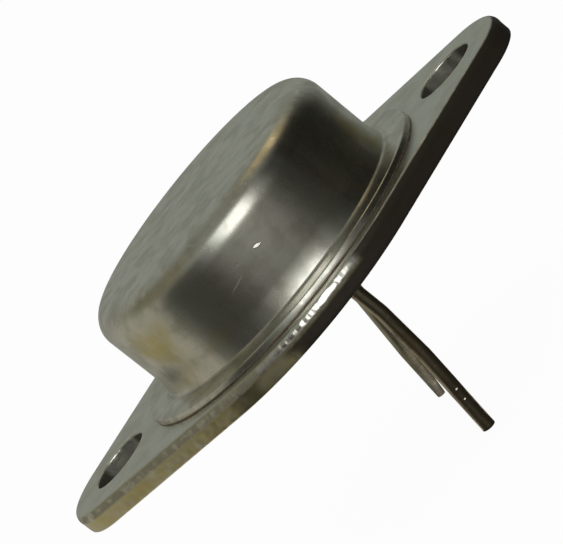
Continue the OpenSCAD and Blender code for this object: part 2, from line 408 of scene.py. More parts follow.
class Effects:
    """Builds each shared effect once, as a node group, and places it in a finish.

    Every group takes coordinates and a seed that moves them. The methods that fill the groups
    get the group's graph, the moved coordinates and the group's inputs by name.
    """

    def __init__(self) -> None:
        """Builds the groups."""
        makers = {
            Effect.CLOUDS: (self.clouds, {"Scale": 1.0, "Low": 0.4, "High": 0.6}),
            Effect.PITS: (self.pits, {"Scale": 1.0, "Share": 0.2}),
            Effect.SCRATCHES: (self.scratches, {"Scale": 1.0, "Turn": 0.0, "Width": 0.01}),
            Effect.WEAR: (self.wear, {"Edge": 0.0, "Scale": 1.0, "Reach": 0.5}),
            Effect.GRAIN: (self.grain, {"Scale": 1.0, "Detail": 5.0}),
        }
        self.groups: dict[Effect, bpy.types.NodeTree] = {}
        for effect, (maker, numbers) in makers.items():
            tree = bpy.data.node_groups.new(effect.value, "ShaderNodeTree")
            tree.interface.new_socket("Vector", in_out="INPUT", socket_type="NodeSocketVector")
            for name, value in {**numbers, "Seed": 0.0}.items():
                socket = tree.interface.new_socket(name, in_out="INPUT", socket_type="NodeSocketFloat")
                socket.default_value = value
            tree.interface.new_socket("Value", in_out="OUTPUT", socket_type="NodeSocketFloat")
            graph = Graph(tree)
            taken = {s.name: Wire(graph, s) for s in tree.nodes.new("NodeGroupInput").outputs if s.name}
            moved = graph.vector("ADD", taken["Vector"],
                                 graph.read("CombineXYZ", {0: taken["Seed"], 1: taken["Seed"]}))
            graph.feed(tree.nodes.new("NodeGroupOutput").inputs["Value"], maker(graph, moved, taken))
            self.groups[effect] = tree

    def place(self, graph: Graph, effect: Effect, **inputs: object) -> Wire:
        """Places an effect in a finish.

        Args:
            graph: The finish's graph.
            effect: Which effect.
            inputs: Its inputs by name.

        Returns:
            Its output.
        """
        made = graph.tree.nodes.new("ShaderNodeGroup")
        made.node_tree = self.groups[effect]
        for name, value in inputs.items():
            graph.feed(made.inputs[name], value)
        return Wire(graph, made.outputs["Value"])

    @staticmethod
    def clouds(graph: Graph, place: Wire, taken: dict[str, Wire]) -> Wire:
        """Soft patches."""
        return graph.ramp(graph.noise(place, taken["Scale"], 4.0), taken["Low"], taken["High"])

    @staticmethod
    def pits(graph: Graph, place: Wire, taken: dict[str, Wire]) -> Wire:
        """Small round hollows, in a share of the cells.

        Args:
            graph: The group's graph.
            place: The coordinates.
            taken: The group's inputs.

        Returns:
            1 in the middle of a hollow, 0 outside.
        """
        stir = graph.read("TexNoise", {"Vector": place, "Scale": taken["Scale"] * 1.6}, "Color")
        reach = graph.math("DIVIDE", 0.7, taken["Scale"])
        shift = graph.read("VectorMath", {0: stir, "Scale": reach}, operation="SCALE")
        spot = graph.vector("ADD", place, shift)
        cells = graph.read("TexVoronoi", {"Vector": spot, "Scale": taken["Scale"]})
        pick = Wire(graph, cells.socket.node.outputs["Color"])
        chosen = graph.math("LESS_THAN", graph.read("SeparateColor", {0: pick}), taken["Share"])
        return graph.ramp(cells, 0.42, 0.12) * chosen

    @staticmethod
    def scratches(graph: Graph, place: Wire, taken: dict[str, Wire]) -> Wire:
        """Thin broken lines that lie one way.

        Args:
            graph: The group's graph.
            place: The coordinates.
            taken: The group's inputs.

        Returns:
            1 on a line, 0 beside it.
        """
        turned = graph.read("VectorRotate", {"Vector": place, "Angle": taken["Turn"]}, rotation_type="Z_AXIS")
        drawn = graph.vector("MULTIPLY", turned, (0.06, 1.0, 1.0))
        off = graph.math("ABSOLUTE", graph.noise(drawn, taken["Scale"], 1.0) - 0.5)
        gaps = graph.noise(place, taken["Scale"])
        return graph.ramp(off, taken["Width"], 0.0) * graph.ramp(gaps, 0.5, 0.62)

    @staticmethod
    def wear(graph: Graph, place: Wire, taken: dict[str, Wire]) -> Wire:
        """Rubbed edges, broken up by noise.

        Args:
            graph: The group's graph.
            place: The coordinates.
            taken: The group's inputs.

        Returns:
            1 where it is rubbed bare, 0 where it is whole.
        """
        lifted = taken["Edge"] + (graph.noise(place, taken["Scale"], 3.0) - 0.5) * 1.4
        start = 1.0 - taken["Reach"]
        return graph.ramp(lifted, start, start + 0.35) * graph.ramp(taken["Edge"], 0.02, 0.2)

    @staticmethod
    def grain(graph: Graph, place: Wire, taken: dict[str, Wire]) -> Wire:
        """Fine satin grain."""
        return graph.noise(place, taken["Scale"], taken["Detail"], 0.65)


class Lay(Enum):
    """The way that the marks of making run on a surface."""

    FLAT = "flat"
    UPRIGHT = "upright"


@dataclass(frozen=True)
class Nick:
    """One knock or scratch. Its bearing turns from the front, -Y, towards +X."""

    bearing: float
    height: float
    reach: float
    length: float
    width: float
    tilt: float
    depth: float
    through: float = 0.3
    whole: float = 0.7

    def relief(self, graph: Graph, place: Wire) -> tuple[Wire, Wire]:
        """Where the nick is, and how its metal is pushed up towards its lower side.

        Args:
            graph: The finish's graph.
            place: The object's coordinates.

        Returns:
            A number from 0 outside it to 1 at its middle, and its height in millimetres.
        """
        turn = math.radians(self.bearing)
        middle = (self.reach * math.sin(turn) * MM, -self.reach * math.cos(turn) * MM, self.height * MM)
        size = (self.length * MM, max(self.length, self.through) * MM, self.width * MM)
        turns = (0.0, math.radians(self.tilt), turn)
        lie = {"Vector": place, "Location": middle, "Rotation": turns, "Scale": size}
        spot = graph.read("Mapping", lie, vector_type="TEXTURE")
        away = graph.read("VectorMath", {0: spot}, "Value", operation="LENGTH")
        struck = graph.ramp(away, 1.0, self.whole)
        return struck, struck * (graph.read("SeparateXYZ", {0: spot}, 2) * -self.depth)


@dataclass(frozen=True)
class MetalFinish:
    """A metal surface with its tarnish, wear, dirt, painted shade and marks of making.

    Sizes and depths are in millimetres. Shares, reaches and roughnesses run from 0 to 1.
    """

    name: str
    tint: Colour
    tarnish: Colour
    worn: Colour
    dirt_and_shade: Colour
    band: Colour
    stain: Colour
    roughness: float = 0.28
    rough_spread: float = 0.14
    band_roughness: float = 0.5
    tarnish_size: float = 2.2
    tarnish_low: float = 0.46
    tarnish_high: float = 0.66
    stain_share: float = 0.5
    stain_low: float = 0.3
    stain_high: float = 0.7
    wear_size: float = 0.45
    wear_reach: float = 0.5
    wear_polish: float = 0.08
    soil_shade_size: float = 0.6
    soil_shade_low: float = 0.25
    soil_shade_high: float = 0.55
    soil_shade_whole: float = 0.35
    soil_shade_roughness: float = 0.25
    soil_shade_cover: float = 0.6
    pit_size: float = 0.25
    pit_share: float = 0.05
    pit_depth: float = 0.004
    edge_roughness: float = 0.0
    dent_size: float = 0.3
    dent_depth: float = 0.002
    grain_size: float = 0.12
    grain_depth: float = 0.0012
    wave_size: float = 1.8
    wave_depth: float = 0.006
    scratch_size: float = 1.4
    scratch_width: float = 0.012
    scratch_depth: float = 0.002
    scratch_share: float = 0.4
    scratch_turns: tuple[float, float] = (0.7, -0.9)
    crossing_scale: float = 0.8
    lay: Lay = Lay.FLAT
    lay_stretch: float = 0.25
    nicks: tuple[Nick, ...] = ()
    nick_roughness: float = 0.1
    seed: float = 0.0

    def material(self, effects: Effects) -> bpy.types.Material:
        """Builds the finish.

        Args:
            effects: The shared effects.

        Returns:
            The material.
        """
        made, graph, shader = new_material(self.name)
        place = graph.read("TexCoord", output="Object")
        upright = self.lay is Lay.UPRIGHT
        drawn = graph.vector("MULTIPLY", place, (1.0, 1.0, self.lay_stretch)) if upright else place
        edge, soil, band = (graph.read("Attribute", output="Fac", attribute_name=n) for n in LAYERS)

        def laid(effect: Effect, size: float, shift: float = 0.0, over: Wire = place,
                 **inputs: object) -> Wire:
            """Places an effect with a size in millimetres and its own pattern."""
            seed = (self.seed + shift) * MM
            return effects.place(graph, effect, Vector=over, Scale=1.0 / (size * MM), Seed=seed, **inputs)

        clouds = laid(Effect.CLOUDS, self.tarnish_size, Low=self.tarnish_low, High=self.tarnish_high)
        streaks = laid(Effect.CLOUDS, self.wave_size, 3.0, drawn, Low=self.stain_low, High=self.stain_high)
        broken = laid(Effect.CLOUDS, self.soil_shade_size, 1.0, Low=self.soil_shade_low, High=self.soil_shade_high)
        specks = laid(Effect.PITS, self.pit_size, Share=self.pit_share)
        marks, crossing = (
            laid(Effect.SCRATCHES, size, shift, Turn=turn, Width=self.scratch_width)
            for size, shift, turn in zip((self.scratch_size, self.scratch_size / self.crossing_scale),
                                         (0.0, 7.0), self.scratch_turns)
        )
        rubbed = laid(Effect.WEAR, self.wear_size, Edge=edge, Reach=self.wear_reach)
        grain = laid(Effect.GRAIN, self.grain_size)
        wave = laid(Effect.GRAIN, self.wave_size, 11.0, drawn)
        dents = laid(Effect.GRAIN, self.dent_size, 17.0, Detail=0.0)
        scored = graph.math("MAXIMUM", marks, crossing) * graph.math("SUBTRACT", 1.0, band, clamp=True)
        # The soil mark lays the dark dirt colour on, both as dirt and as painted shade.
        soiled_and_shaded = soil * graph.math("MAXIMUM", broken, graph.ramp(soil, self.soil_shade_whole, 1.0))
        knocks = [nick.relief(graph, place) for nick in self.nicks]

        colour = graph.blend(clouds, self.tint, self.tarnish)
        coats = [(streaks * self.stain_share, self.stain), (band * (broken * 0.5 + 0.5), self.band),
                 (scored * self.scratch_share, self.worn), (rubbed, self.worn), (soiled_and_shaded, self.dirt_and_shade)]
        for share, tone in coats + [(struck, self.worn) for struck, _ in knocks]:
            colour = graph.blend(share, colour, tone)

        rough = self.roughness + (streaks + clouds) * self.rough_spread
        rough = rough + band * (self.band_roughness - self.roughness)
        rough = rough + soiled_and_shaded * self.soil_shade_roughness + edge * self.edge_roughness
        height = wave * self.wave_depth + grain * self.grain_depth + edge * dents * self.dent_depth
        height = height - specks * self.pit_depth - scored * self.scratch_depth
        for struck, pushed in knocks:
            rough, height = rough + struck * self.nick_roughness, height + pushed

        rough = graph.math("SUBTRACT", rough, rubbed * self.wear_polish, clamp=True)
        metal = graph.math("SUBTRACT", 1.0, soiled_and_shaded * self.soil_shade_cover, clamp=True)
        bump = graph.read("Bump", {"Height": height, "Distance": MM, "Strength": 1.0})
        looks = {"Base Color": colour, "Roughness": rough, "Metallic": metal, "Normal": bump}
        for name, value in looks.items():
            graph.feed(shader.inputs[name], value)
        return made


@dataclass(frozen=True)
class GlassFinish:
    """Fused sealing glass, dark and slightly cloudy."""

    name: str = "sealing_glass"
    tint: Colour = (0.18, 0.25, 0.23)
    cloud: Colour = (0.30, 0.36, 0.33)
    roughness: float = 0.08
    cloud_roughness: float = 0.15
    cloud_size: float = 0.5
    bubble_size: float = 0.22
    bubble_share: float = 0.15
    bubble_depth: float = 0.01
    clearness: float = 0.55
    index: float = 1.52

    def material(self, effects: Effects) -> bpy.types.Material:
        """Builds the finish.

        Args:
            effects: The shared effects.

        Returns:
            The material.
        """
        made, graph, shader = new_material(self.name)
        place = graph.read("TexCoord", output="Object")
        clouds = effects.place(graph, Effect.CLOUDS, Vector=place, Scale=1.0 / (self.cloud_size * MM))
        bubbles = effects.place(graph, Effect.PITS, Vector=place, Scale=1.0 / (self.bubble_size * MM),
                                Share=self.bubble_share)
        colour = graph.blend(graph.math("MAXIMUM", clouds, bubbles), self.tint, self.cloud)
        graph.feed(shader.inputs["Base Color"], colour)
        graph.feed(shader.inputs["Roughness"], self.roughness + clouds * self.cloud_roughness)
        shader.inputs["Transmission Weight"].default_value = self.clearness
        shader.inputs["IOR"].default_value = self.index
        bump = graph.read("Bump", {"Height": bubbles * -self.bubble_depth, "Distance": MM})
        graph.feed(shader.inputs["Normal"], bump)
        return made


# ---- the finishes

CAN_NICKS = (
    Nick(5.6, 5.37, 9.725, length=0.29, width=0.12, tilt=16.0, depth=0.055),
    Nick(-8.6, 4.79, 9.725, length=0.78, width=0.035, tilt=-13.0, depth=0.005),
    Nick(96.0, 4.2, 9.725, length=0.2, width=0.08, tilt=-30.0, depth=0.035),
    Nick(171.0, 5.9, 9.725, length=0.9, width=0.04, tilt=20.0, depth=0.006),
    Nick(-118.0, 3.9, 9.725, length=0.18, width=0.12, tilt=8.0, depth=0.05),
)
# Its dark dirt colour also serves as painted shade in the crease at the wall's foot and under the lip.
CAN_NICKEL = MetalFinish(
    "aged_can_nickel", tint=(0.645, 0.61, 0.54), tarnish=(0.47, 0.44, 0.365), worn=(0.74, 0.71, 0.63),
    dirt_and_shade=(0.07, 0.055, 0.035), band=(0.54, 0.47, 0.24), stain=(0.52, 0.55, 0.47),
    roughness=0.25, rough_spread=0.05, band_roughness=0.3, lay=Lay.UPRIGHT, lay_stretch=0.15,
    wave_size=1.1, wave_depth=0.004, dent_depth=0.003, tarnish_size=1.3, tarnish_low=0.4,
    scratch_depth=0.0006, pit_depth=0.0015, nicks=CAN_NICKS, seed=2.0,
)
# Its dark dirt colour also serves as painted shade on the rim's front and right and in the hole bores.
PLATE_NICKEL = MetalFinish(
    "aged_plate_nickel", tint=(0.61, 0.60, 0.53), tarnish=(0.53, 0.52, 0.44), worn=(0.74, 0.71, 0.63),
    dirt_and_shade=(0.027, 0.020, 0.011), band=(0.555, 0.475, 0.235), stain=(0.55, 0.57, 0.49),
    roughness=0.25, rough_spread=0.05, band_roughness=0.3, edge_roughness=0.02,
    dent_size=0.31, dent_depth=0.042, pit_depth=0.002, scratch_depth=0.001, seed=5.0,
)
WELD_STEEL = MetalFinish(
    "rusted_weld_steel", tint=(0.66, 0.50, 0.37), tarnish=(0.42, 0.28, 0.19), worn=(0.6, 0.48, 0.36),
    dirt_and_shade=(0.03, 0.02, 0.012), band=(0.12, 0.06, 0.03), stain=(0.32, 0.20, 0.13), roughness=0.45, seed=8.0,
)
BASE_WIRE_NICKS = (
    Nick(13.2, -9.9, 6.07, length=0.1, width=0.08, tilt=0.0, depth=0.04),
    Nick(11.9, -10.66, 6.04, length=0.09, width=0.07, tilt=0.0, depth=0.035),
)
BASE_WIRE_ALLOY = MetalFinish(
    "dull_base_lead", tint=(0.42, 0.37, 0.26), tarnish=(0.22, 0.165, 0.10), worn=(0.60, 0.55, 0.44),
    dirt_and_shade=(0.04, 0.026, 0.014), band=(0.5, 0.45, 0.35), stain=(0.26, 0.20, 0.12),
    roughness=0.26, lay=Lay.UPRIGHT, lay_stretch=0.12, tarnish_size=1.2, wave_size=0.35, wave_depth=0.001,
    nicks=BASE_WIRE_NICKS, seed=12.0,
)
# Its dark dirt colour also serves as painted shade on the tip.
EMITTER_WIRE_ALLOY = replace(
    BASE_WIRE_ALLOY, name="dull_emitter_lead", tint=(0.37, 0.345, 0.26), tarnish=(0.26, 0.225, 0.15),
    worn=(0.44, 0.40, 0.32), dirt_and_shade=(0.05, 0.035, 0.02), stain=(0.32, 0.29, 0.20), nicks=(), seed=17.0,
)


def plain_metal(name: str, tint: Colour, roughness: float, seed: float) -> MetalFinish:
    """Finish of a clean metal part sealed in the can.

    Args:
        name: Name of the material.
        tint: Its colour.
        roughness: Its roughness.
        seed: Picks its pattern.

    Returns:
        The finish.
    """
    dull: Colour = (tint[0] * 0.8, tint[1] * 0.78, tint[2] * 0.75)
    return MetalFinish(name, tint=tint, tarnish=dull, worn=tint, dirt_and_shade=dull, band=dull, stain=dull,
                       roughness=roughness, rough_spread=0.08, wave_depth=0.001, wave_size=0.6,
                       tarnish_size=0.8, seed=seed)


class Inside(Enum):
    """The sealed parts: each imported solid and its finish."""

    spreader_braze = plain_metal("silver_braze", (0.80, 0.76, 0.66), 0.35, 21.0)
    heat_spreader = plain_metal("spreader_copper", (0.86, 0.50, 0.36), 0.30, 22.0)
    die_solder = plain_metal("soft_solder", (0.60, 0.60, 0.61), 0.40, 23.0)
    silicon_die = plain_metal("polished_silicon", (0.30, 0.32, 0.36), 0.12, 24.0)
    emitter_metal = plain_metal("emitter_aluminium", (0.88, 0.88, 0.87), 0.22, 25.0)
    base_metal = plain_metal("base_aluminium", (0.86, 0.86, 0.87), 0.22, 26.0)
    base_wire = plain_metal("base_bond_aluminium", (0.89, 0.89, 0.88), 0.30, 27.0)
    emitter_wire_inner = plain_metal("inner_bond_aluminium", (0.89, 0.89, 0.88), 0.30, 28.0)
    emitter_wire_outer = plain_metal("outer_bond_aluminium", (0.89, 0.89, 0.88), 0.30, 29.0)


# ---- the can


def lathe(skin: Skin, profile: Profile, steps: int, centre: tuple[float, float] = (0.0, 0.0),
          offset: Callable[[Vector], float] = lambda _: 0.0,
          marks: Callable[[Vector], Marks] = lambda _: BARE, closed: bool = True) -> list[list[int]]:
    """Turns a half section about an upright axis.

    Args:
        skin: The mesh to add to.
        profile: The half section, as distance from the axis and height.
        steps: Number of steps round the axis.
        centre: Where the axis stands.
        offset: How far each place moves away from the axis, in millimetres.
        marks: Edge, soil and band at each place.
        closed: Whether the last point joins the first.

    Returns:
        The loops, one for each point of the half section.
    """
    loops: list[list[int]] = []
    for reach, height in profile:
        if reach < 1e-6:
            place = Vector((centre[0], centre[1], height))
            loops.append([skin.point(place, marks(place))])
            continue
        loop = []
        for i in range(steps):
            turn = 2.0 * math.pi * i / steps
            out = Vector((math.cos(turn), math.sin(turn), 0.0))
            place = Vector((*centre, 0.0)) + out * reach + Vector((0.0, 0.0, height))
            loop.append(skin.point(place + out * offset(place), marks(place)))
        loops.append(loop)
    for first, second in zip(loops, loops[1:] + (loops[:1] if closed else [])):
        if len(first) == 1:
            skin.fan(second, first[0])
        elif len(second) == 1:
            skin.fan(first, second[0], flip=True)
        else:
            skin.bridge(second, first)
    return loops


@dataclass
class DrawnCan:
    """The drawn steel can, one sheet from its crown to its welded lip."""

    wall_d: float = 19.45
    sheet_t: float = 0.4
    shoulder_r: float = 1.6
    crown_rise: float = 0.15
    flare_h: float = 1.32
    flare_r: float = 4.7
    root_r: float = 0.2
    lip_bulge_r: float = 0.9
    lip_slope: Span = (4.0, 22.0)
    lip_break: float = 0.03
    wall_wave: float = 0.006
    wave_width: float = 4.5
    handled_seed: float = 112.48
    handled_width: float = 3.4
    handled_squash: float = 1.4
    handled_foot: Span = (0.0, 0.6)
    handled_top: Span = (7.2, 5.6)
    handled_depth: Span = (0.0, 0.5)
    clean_bearing: float = 8.0
    clean_reach: Span = (24.0, 36.0)
    shoulder_wear: float = 0.5
    lip_edge_wear: float = 0.45
    lip_top_wear: float = 0.4
    corner_shade: float = 0.3
    outer_steps: tuple[int, ...] = (24, 26, 14, 10)
    inner_steps: tuple[int, ...] = (10, 6, 5, 6)
    crown_steps: int = 40
    steps: int = 384
    finish: MetalFinish = CAN_NICKEL

    def __post_init__(self) -> None:
        """Takes the heights and the lip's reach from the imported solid."""
        low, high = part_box("can")
        self.lip_z, self.crown_z, self.lip_r = low.z / MM, high.z / MM, high.x / MM
        self.wall_r = self.wall_d / 2.0
        self.lip_top_z = self.lip_z + self.sheet_t
        self.flare_z, self.bend_z = self.lip_top_z + self.flare_h, self.lip_top_z + self.root_r
        self.flare_turn = math.asin((self.flare_z - self.bend_z) / (self.flare_r - self.root_r))
        self.bend_x = self.wall_r + self.flare_r - (self.flare_r - self.root_r) * math.cos(self.flare_turn)
        flat, steep = (math.radians(a) for a in self.lip_slope)
        self.bulge_x = self.lip_r - self.lip_bulge_r * math.cos(flat)
        self.bulge_z = self.lip_z + self.lip_break - self.lip_bulge_r * math.sin(flat)
        brow_z = self.bulge_z + self.lip_bulge_r * math.sin(steep)
        self.crest_r = (self.lip_top_z - brow_z) / (1.0 - math.sin(steep))
        self.crest_x = self.bulge_x + (self.lip_bulge_r - self.crest_r) * math.cos(steep)

    def shell(self, inset: float) -> Profile:
        """Half section from the middle of the crown to the edge of the lip, at a depth in the sheet.

        Args:
            inset: Depth under the outside.

        Returns:
            The points.
        """
        crown_r = (self.wall_r**2 + self.crown_rise**2) / (2.0 * self.crown_rise)
        crown_mid = self.crown_z - crown_r
        shoulder_x = self.wall_r - self.shoulder_r
        shoulder_z = crown_mid + math.sqrt((crown_r - self.shoulder_r) ** 2 - shoulder_x**2)
        lean = math.degrees(math.asin(shoulder_x / (crown_r - self.shoulder_r)))
        turns = [math.radians(lean * i / self.crown_steps) for i in range(self.crown_steps + 1)]
        reach = crown_r - inset
        crown = [(reach * math.sin(t), crown_mid + reach * math.cos(t)) for t in turns]
        outside = inset == 0.0
        steps = self.outer_steps if outside else self.inner_steps
        shoulder = arc((shoulder_x, shoulder_z), self.shoulder_r - inset, 90.0 - lean, 0.0, steps[0])
        wall = line((self.wall_r - inset, shoulder_z), (self.wall_r - inset, self.flare_z), steps[1])
        foot = 180.0 + math.degrees(self.flare_turn)
        flare = arc((self.wall_r + self.flare_r, self.flare_z), self.flare_r + inset, 180.0, foot, steps[2])
        bend = arc((self.bend_x, self.bend_z), self.root_r + inset, foot, 270.0, steps[3])
        end = self.crest_x if outside else self.lip_r - self.lip_break
        lip = line((self.bend_x, self.lip_top_z - inset), (end, self.lip_top_z - inset), 10)
        return chain(crown, shoulder, wall, flare, bend, lip)

    def section(self) -> Profile:
        """The whole closed half section: outside, lip edge, then back along the inside."""
        flat, steep = self.lip_slope
        crest = arc((self.crest_x, self.lip_top_z - self.crest_r), self.crest_r, 90.0, steep, 6)
        slope = arc((self.bulge_x, self.bulge_z), self.lip_bulge_r, steep, flat, 8)
        brk = self.lip_break
        lower = arc((self.lip_r - brk, self.lip_z + brk), brk, flat, -90.0, 3)
        return chain(self.shell(0.0), crest, slope, lower, list(reversed(self.shell(self.sheet_t))))

    def swell(self, place: Vector) -> float:
        """How far the drawing left the wall out of round at a place."""
        foot, brow = self.lip_top_z, self.crown_z - 0.2
        on_wall = smooth(foot, foot + 1.0, place.z) * smooth(brow, brow - 1.0, place.z)
        return self.wall_wave * on_wall * ripple(place, self.wave_width, 3.0)

    def handled(self, place: Vector) -> float:
        """How far hands have stained the wall at a place."""
        spot = Vector((place.x, place.y, place.z * self.handled_squash))
        off = abs(math.degrees(math.atan2(place.x, -place.y)) - self.clean_bearing)
        low_wall = smooth(*self.handled_foot, place.z - self.lip_top_z) * smooth(*self.handled_top, place.z)
        touched = smooth(*self.handled_depth, ripple(spot, self.handled_width, self.handled_seed))
        return low_wall * touched * smooth(*self.clean_reach, off)

    def marks(self, place: Vector) -> Marks:
        """Edge, painted shade and band of the can at a place; the painted shade lies in the crease at the
        wall's foot and under the lip.
        """
        reach, up = math.hypot(place.x, place.y), place.z - self.lip_top_z
        shoulder = smooth(self.wall_r - 1.6, self.wall_r - 0.5, reach)
        shoulder *= smooth(self.crown_z - 1.3, self.crown_z - 0.4, place.z)
        lip_edge = smooth(self.lip_r - 0.25, self.lip_r, reach)
        lip_top = smooth(0.1, 0.0, up) * smooth(self.bend_x, self.bend_x + 0.3, reach)
        # Painted shade: darker in the crease at the wall's foot and on the underside of the lip.
        corner = smooth(0.2, 0.05, abs(reach - self.bend_x)) * smooth(0.3, 0.05, up)
        under = smooth(self.lip_z + 0.05, self.lip_z, place.z)
        edge = max(self.shoulder_wear * shoulder, self.lip_edge_wear * lip_edge, self.lip_top_wear * lip_top)
        return edge, max(self.corner_shade * corner, under), self.handled(place)

    def build(self, effects: Effects) -> None:
        """Builds and dresses the can.

        Args:
            effects: The shared effects.
        """
        skin = Skin()
        lathe(skin, self.section(), self.steps, offset=self.swell, marks=self.marks, closed=False)
        settle(skin, "drawn_can", "can", self.finish.material(effects))


# ---- the plate


@dataclass
class MountingPlate:
    """The punched steel plate with its bevelled rim, two mounting holes and two seal holes.

    The rim's depths are from the plate's top down.
    """

    end_r: float = 4.35
    hole_r: float = 2.05
    bevel_h: float = 0.5
    bevel_turn: float = 30.0
    brow_r: float = 0.3
    arris_r: float = 0.6
    edge_break: float = 0.22
    mouth_roll_r: float = 0.15
    mouth_break: float = 0.04
    tear: float = 0.02
    torn_depths: Span = (0.55, 0.75)
    dint: float = 0.1
    dint_low: float = 0.35
    # Bearings over which the rim gets painted shade on its front and right.
    shaded_from: Span = (-26.0, -6.0)
    shaded_to: Span = (150.0, 118.0)
    flank_from: Span = (13.0, 20.0)
    brow_depths: Span = (0.0, 0.07)
    crest_depths: Span = (0.6, 0.4)
    crest_insets: Span = (0.3, 0.15)
    band_depths: Span = (0.42, 0.55)
    bevel_band: float = 0.45
    shade_depths: Span = (0.38, 0.46)
    deep_shade_depths: Span = (0.46, 0.75)
    brown_soil: float = 0.6
    brown_depths: Span = (0.02, 0.12)
    brown_ends: Span = (0.6, 0.42)
    bottom_wear: float = 0.8
    mouth_wear: float = 0.5
    mouth_reach: Span = (0.4, 0.1)
    lip_r: float = 11.725
    near_can_dark: float = 0.12
    near_can_reach: float = 0.5
    bore_shade: float = 0.95
    bore_rubbed: Span = (0.70, 0.95)
    bore_torn: Span = (0.6, 0.35)
    step: float = 0.16
    grid: float = 0.5
    hole_steps: int = 72
    seal_steps: int = 56
    slack: float = 1e-4
    finish: MetalFinish = PLATE_NICKEL

    def __post_init__(self) -> None:
        """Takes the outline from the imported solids."""
        low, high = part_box("mounting_plate")
        self.thickness, self.mid_r = high.z / MM, high.y / MM
        self.hole_x = high.x / MM - self.end_r
        self.lean = math.acos((self.mid_r - self.end_r) / self.hole_x)
        self.seals = []
        for node in ("base_glass_seal", "emitter_glass_seal"):
            near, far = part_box(node)
            middle = (near + far) / 2.0 / MM
            self.seals.append((middle.x, middle.y, (far.x - near.x) / 2.0 / MM))

    def outline(self) -> list[tuple[Vector, Vector]]:
        """Points on the outline in order, each with its outward direction."""
        lean, pi = self.lean, math.pi
        arcs = (
            (self.hole_x, self.end_r, -lean, lean), (0.0, self.mid_r, lean, pi - lean),
            (-self.hole_x, self.end_r, pi - lean, pi + lean), (0.0, self.mid_r, pi + lean, 2.0 * pi - lean),
        )
        found: list[tuple[Vector, Vector]] = []
        for (x, radius, start, end), (next_x, next_radius, _, _) in zip(arcs, arcs[1:] + arcs[:1]):
            count = max(4, round((end - start) * radius / self.step))
            for i in range(count):
                turn = start + (end - start) * i / count
                out = Vector((math.cos(turn), math.sin(turn), 0.0))
                found.append((Vector((x, 0.0, 0.0)) + out * radius, out))
            out = Vector((math.cos(end), math.sin(end), 0.0))
            first, last = (Vector((c, 0.0, 0.0)) + out * r for c, r in ((x, radius), (next_x, next_radius)))
            count = round((last - first).length / self.step)
            found.extend((first.lerp(last, i / count), out) for i in range(count))
        return found

    def rim(self) -> Profile:
        """Section of the rim: how far in from the outline, and height."""
        brk, top, turn = self.edge_break, self.thickness, math.radians(self.bevel_turn)
        foot = top - self.bevel_h
        rounds = self.brow_r * (1.0 - math.sin(turn)) + self.arris_r * math.sin(turn)
        slope = (self.bevel_h - rounds) / math.cos(turn)
        brow_x = self.arris_r * (math.cos(turn) - 1.0) - slope * math.sin(turn) - self.brow_r * math.cos(turn)
        brow = arc((brow_x, top - self.brow_r), self.brow_r, 90.0, self.bevel_turn, 4)
        arris = arc((-self.arris_r, foot), self.arris_r, self.bevel_turn, 0.0, 5)
        side = line((0.0, foot), (0.0, brk), 9)
        whole = chain(brow, line(brow[-1], arris[0], 5), arris, side, arc((-brk, brk), brk, 0.0, -90.0, 5))
        return [(-x, z) for x, z in whole]

    def painted_rim_shade(self, place: Vector) -> float:
        """How strong the painted shade on the rim's front and right is at a place."""
        bearing = math.degrees(math.atan2(place.x, -place.y)) + 6.0 * ripple(place, 1.5, 14.0)
        return smooth(*self.shaded_from, bearing) * smooth(*self.shaded_to, bearing)

    def bite(self, place: Vector, height: float) -> float:
        """How far the torn band of the punched edge is bitten in at a place."""
        down = self.thickness - height
        torn = smooth(*self.torn_depths, down) * smooth(0.0, 0.15, height)
        rough = ripple(place, 0.35, 1.0) * 0.5 + ripple(place, 1.6, 2.0) * 0.5
        dint = max(0.0, ripple(place, 0.9, 6.0) - self.dint_low)
        on_bevel = smooth(0.6, 0.3, down) * smooth(0.0, 0.08, down)
        return self.tear * torn * (0.6 + rough) + self.dint * dint * on_bevel

    def face(self, skin: Skin, loops: list[list[int]], height: float, upward: bool) -> None:
        """Fills a flat face between its outline and its holes.

        Args:
            skin: The mesh to add to.
            loops: Points of the outline, then of each hole.
            height: Height of the face.
            upward: Whether the face looks up.
        """
        rings = [(self.hole_x, 0.0), (-self.hole_x, 0.0)] + [(x, y) for x, y, _ in self.seals]
        reaches = [max(math.dist(skin.points[i][:2], c) for i in loop) for c, loop in zip(rings, loops[1:])]
        inset = self.mid_r - max(skin.points[i].y for i in loops[0])
        cos, sin = math.cos(self.lean), math.sin(self.lean)

        def inside(x: float, y: float, clear: float) -> bool:
            """Whether a place is on the face, and that far from its edges."""
            ax, ay = abs(x), abs(y)
            across = ay * cos - ax * sin
            if across > 0.0:
                room = self.mid_r - math.hypot(ax, ay)
            elif across < -self.hole_x * sin:
                room = self.end_r - math.hypot(ax - self.hole_x, ay)
            else:
                room = self.mid_r - ax * cos - ay * sin
            if room - inset < clear:
                return False
            return all(math.dist((x, y), c) > r + clear - self.slack for c, r in zip(rings, reaches))

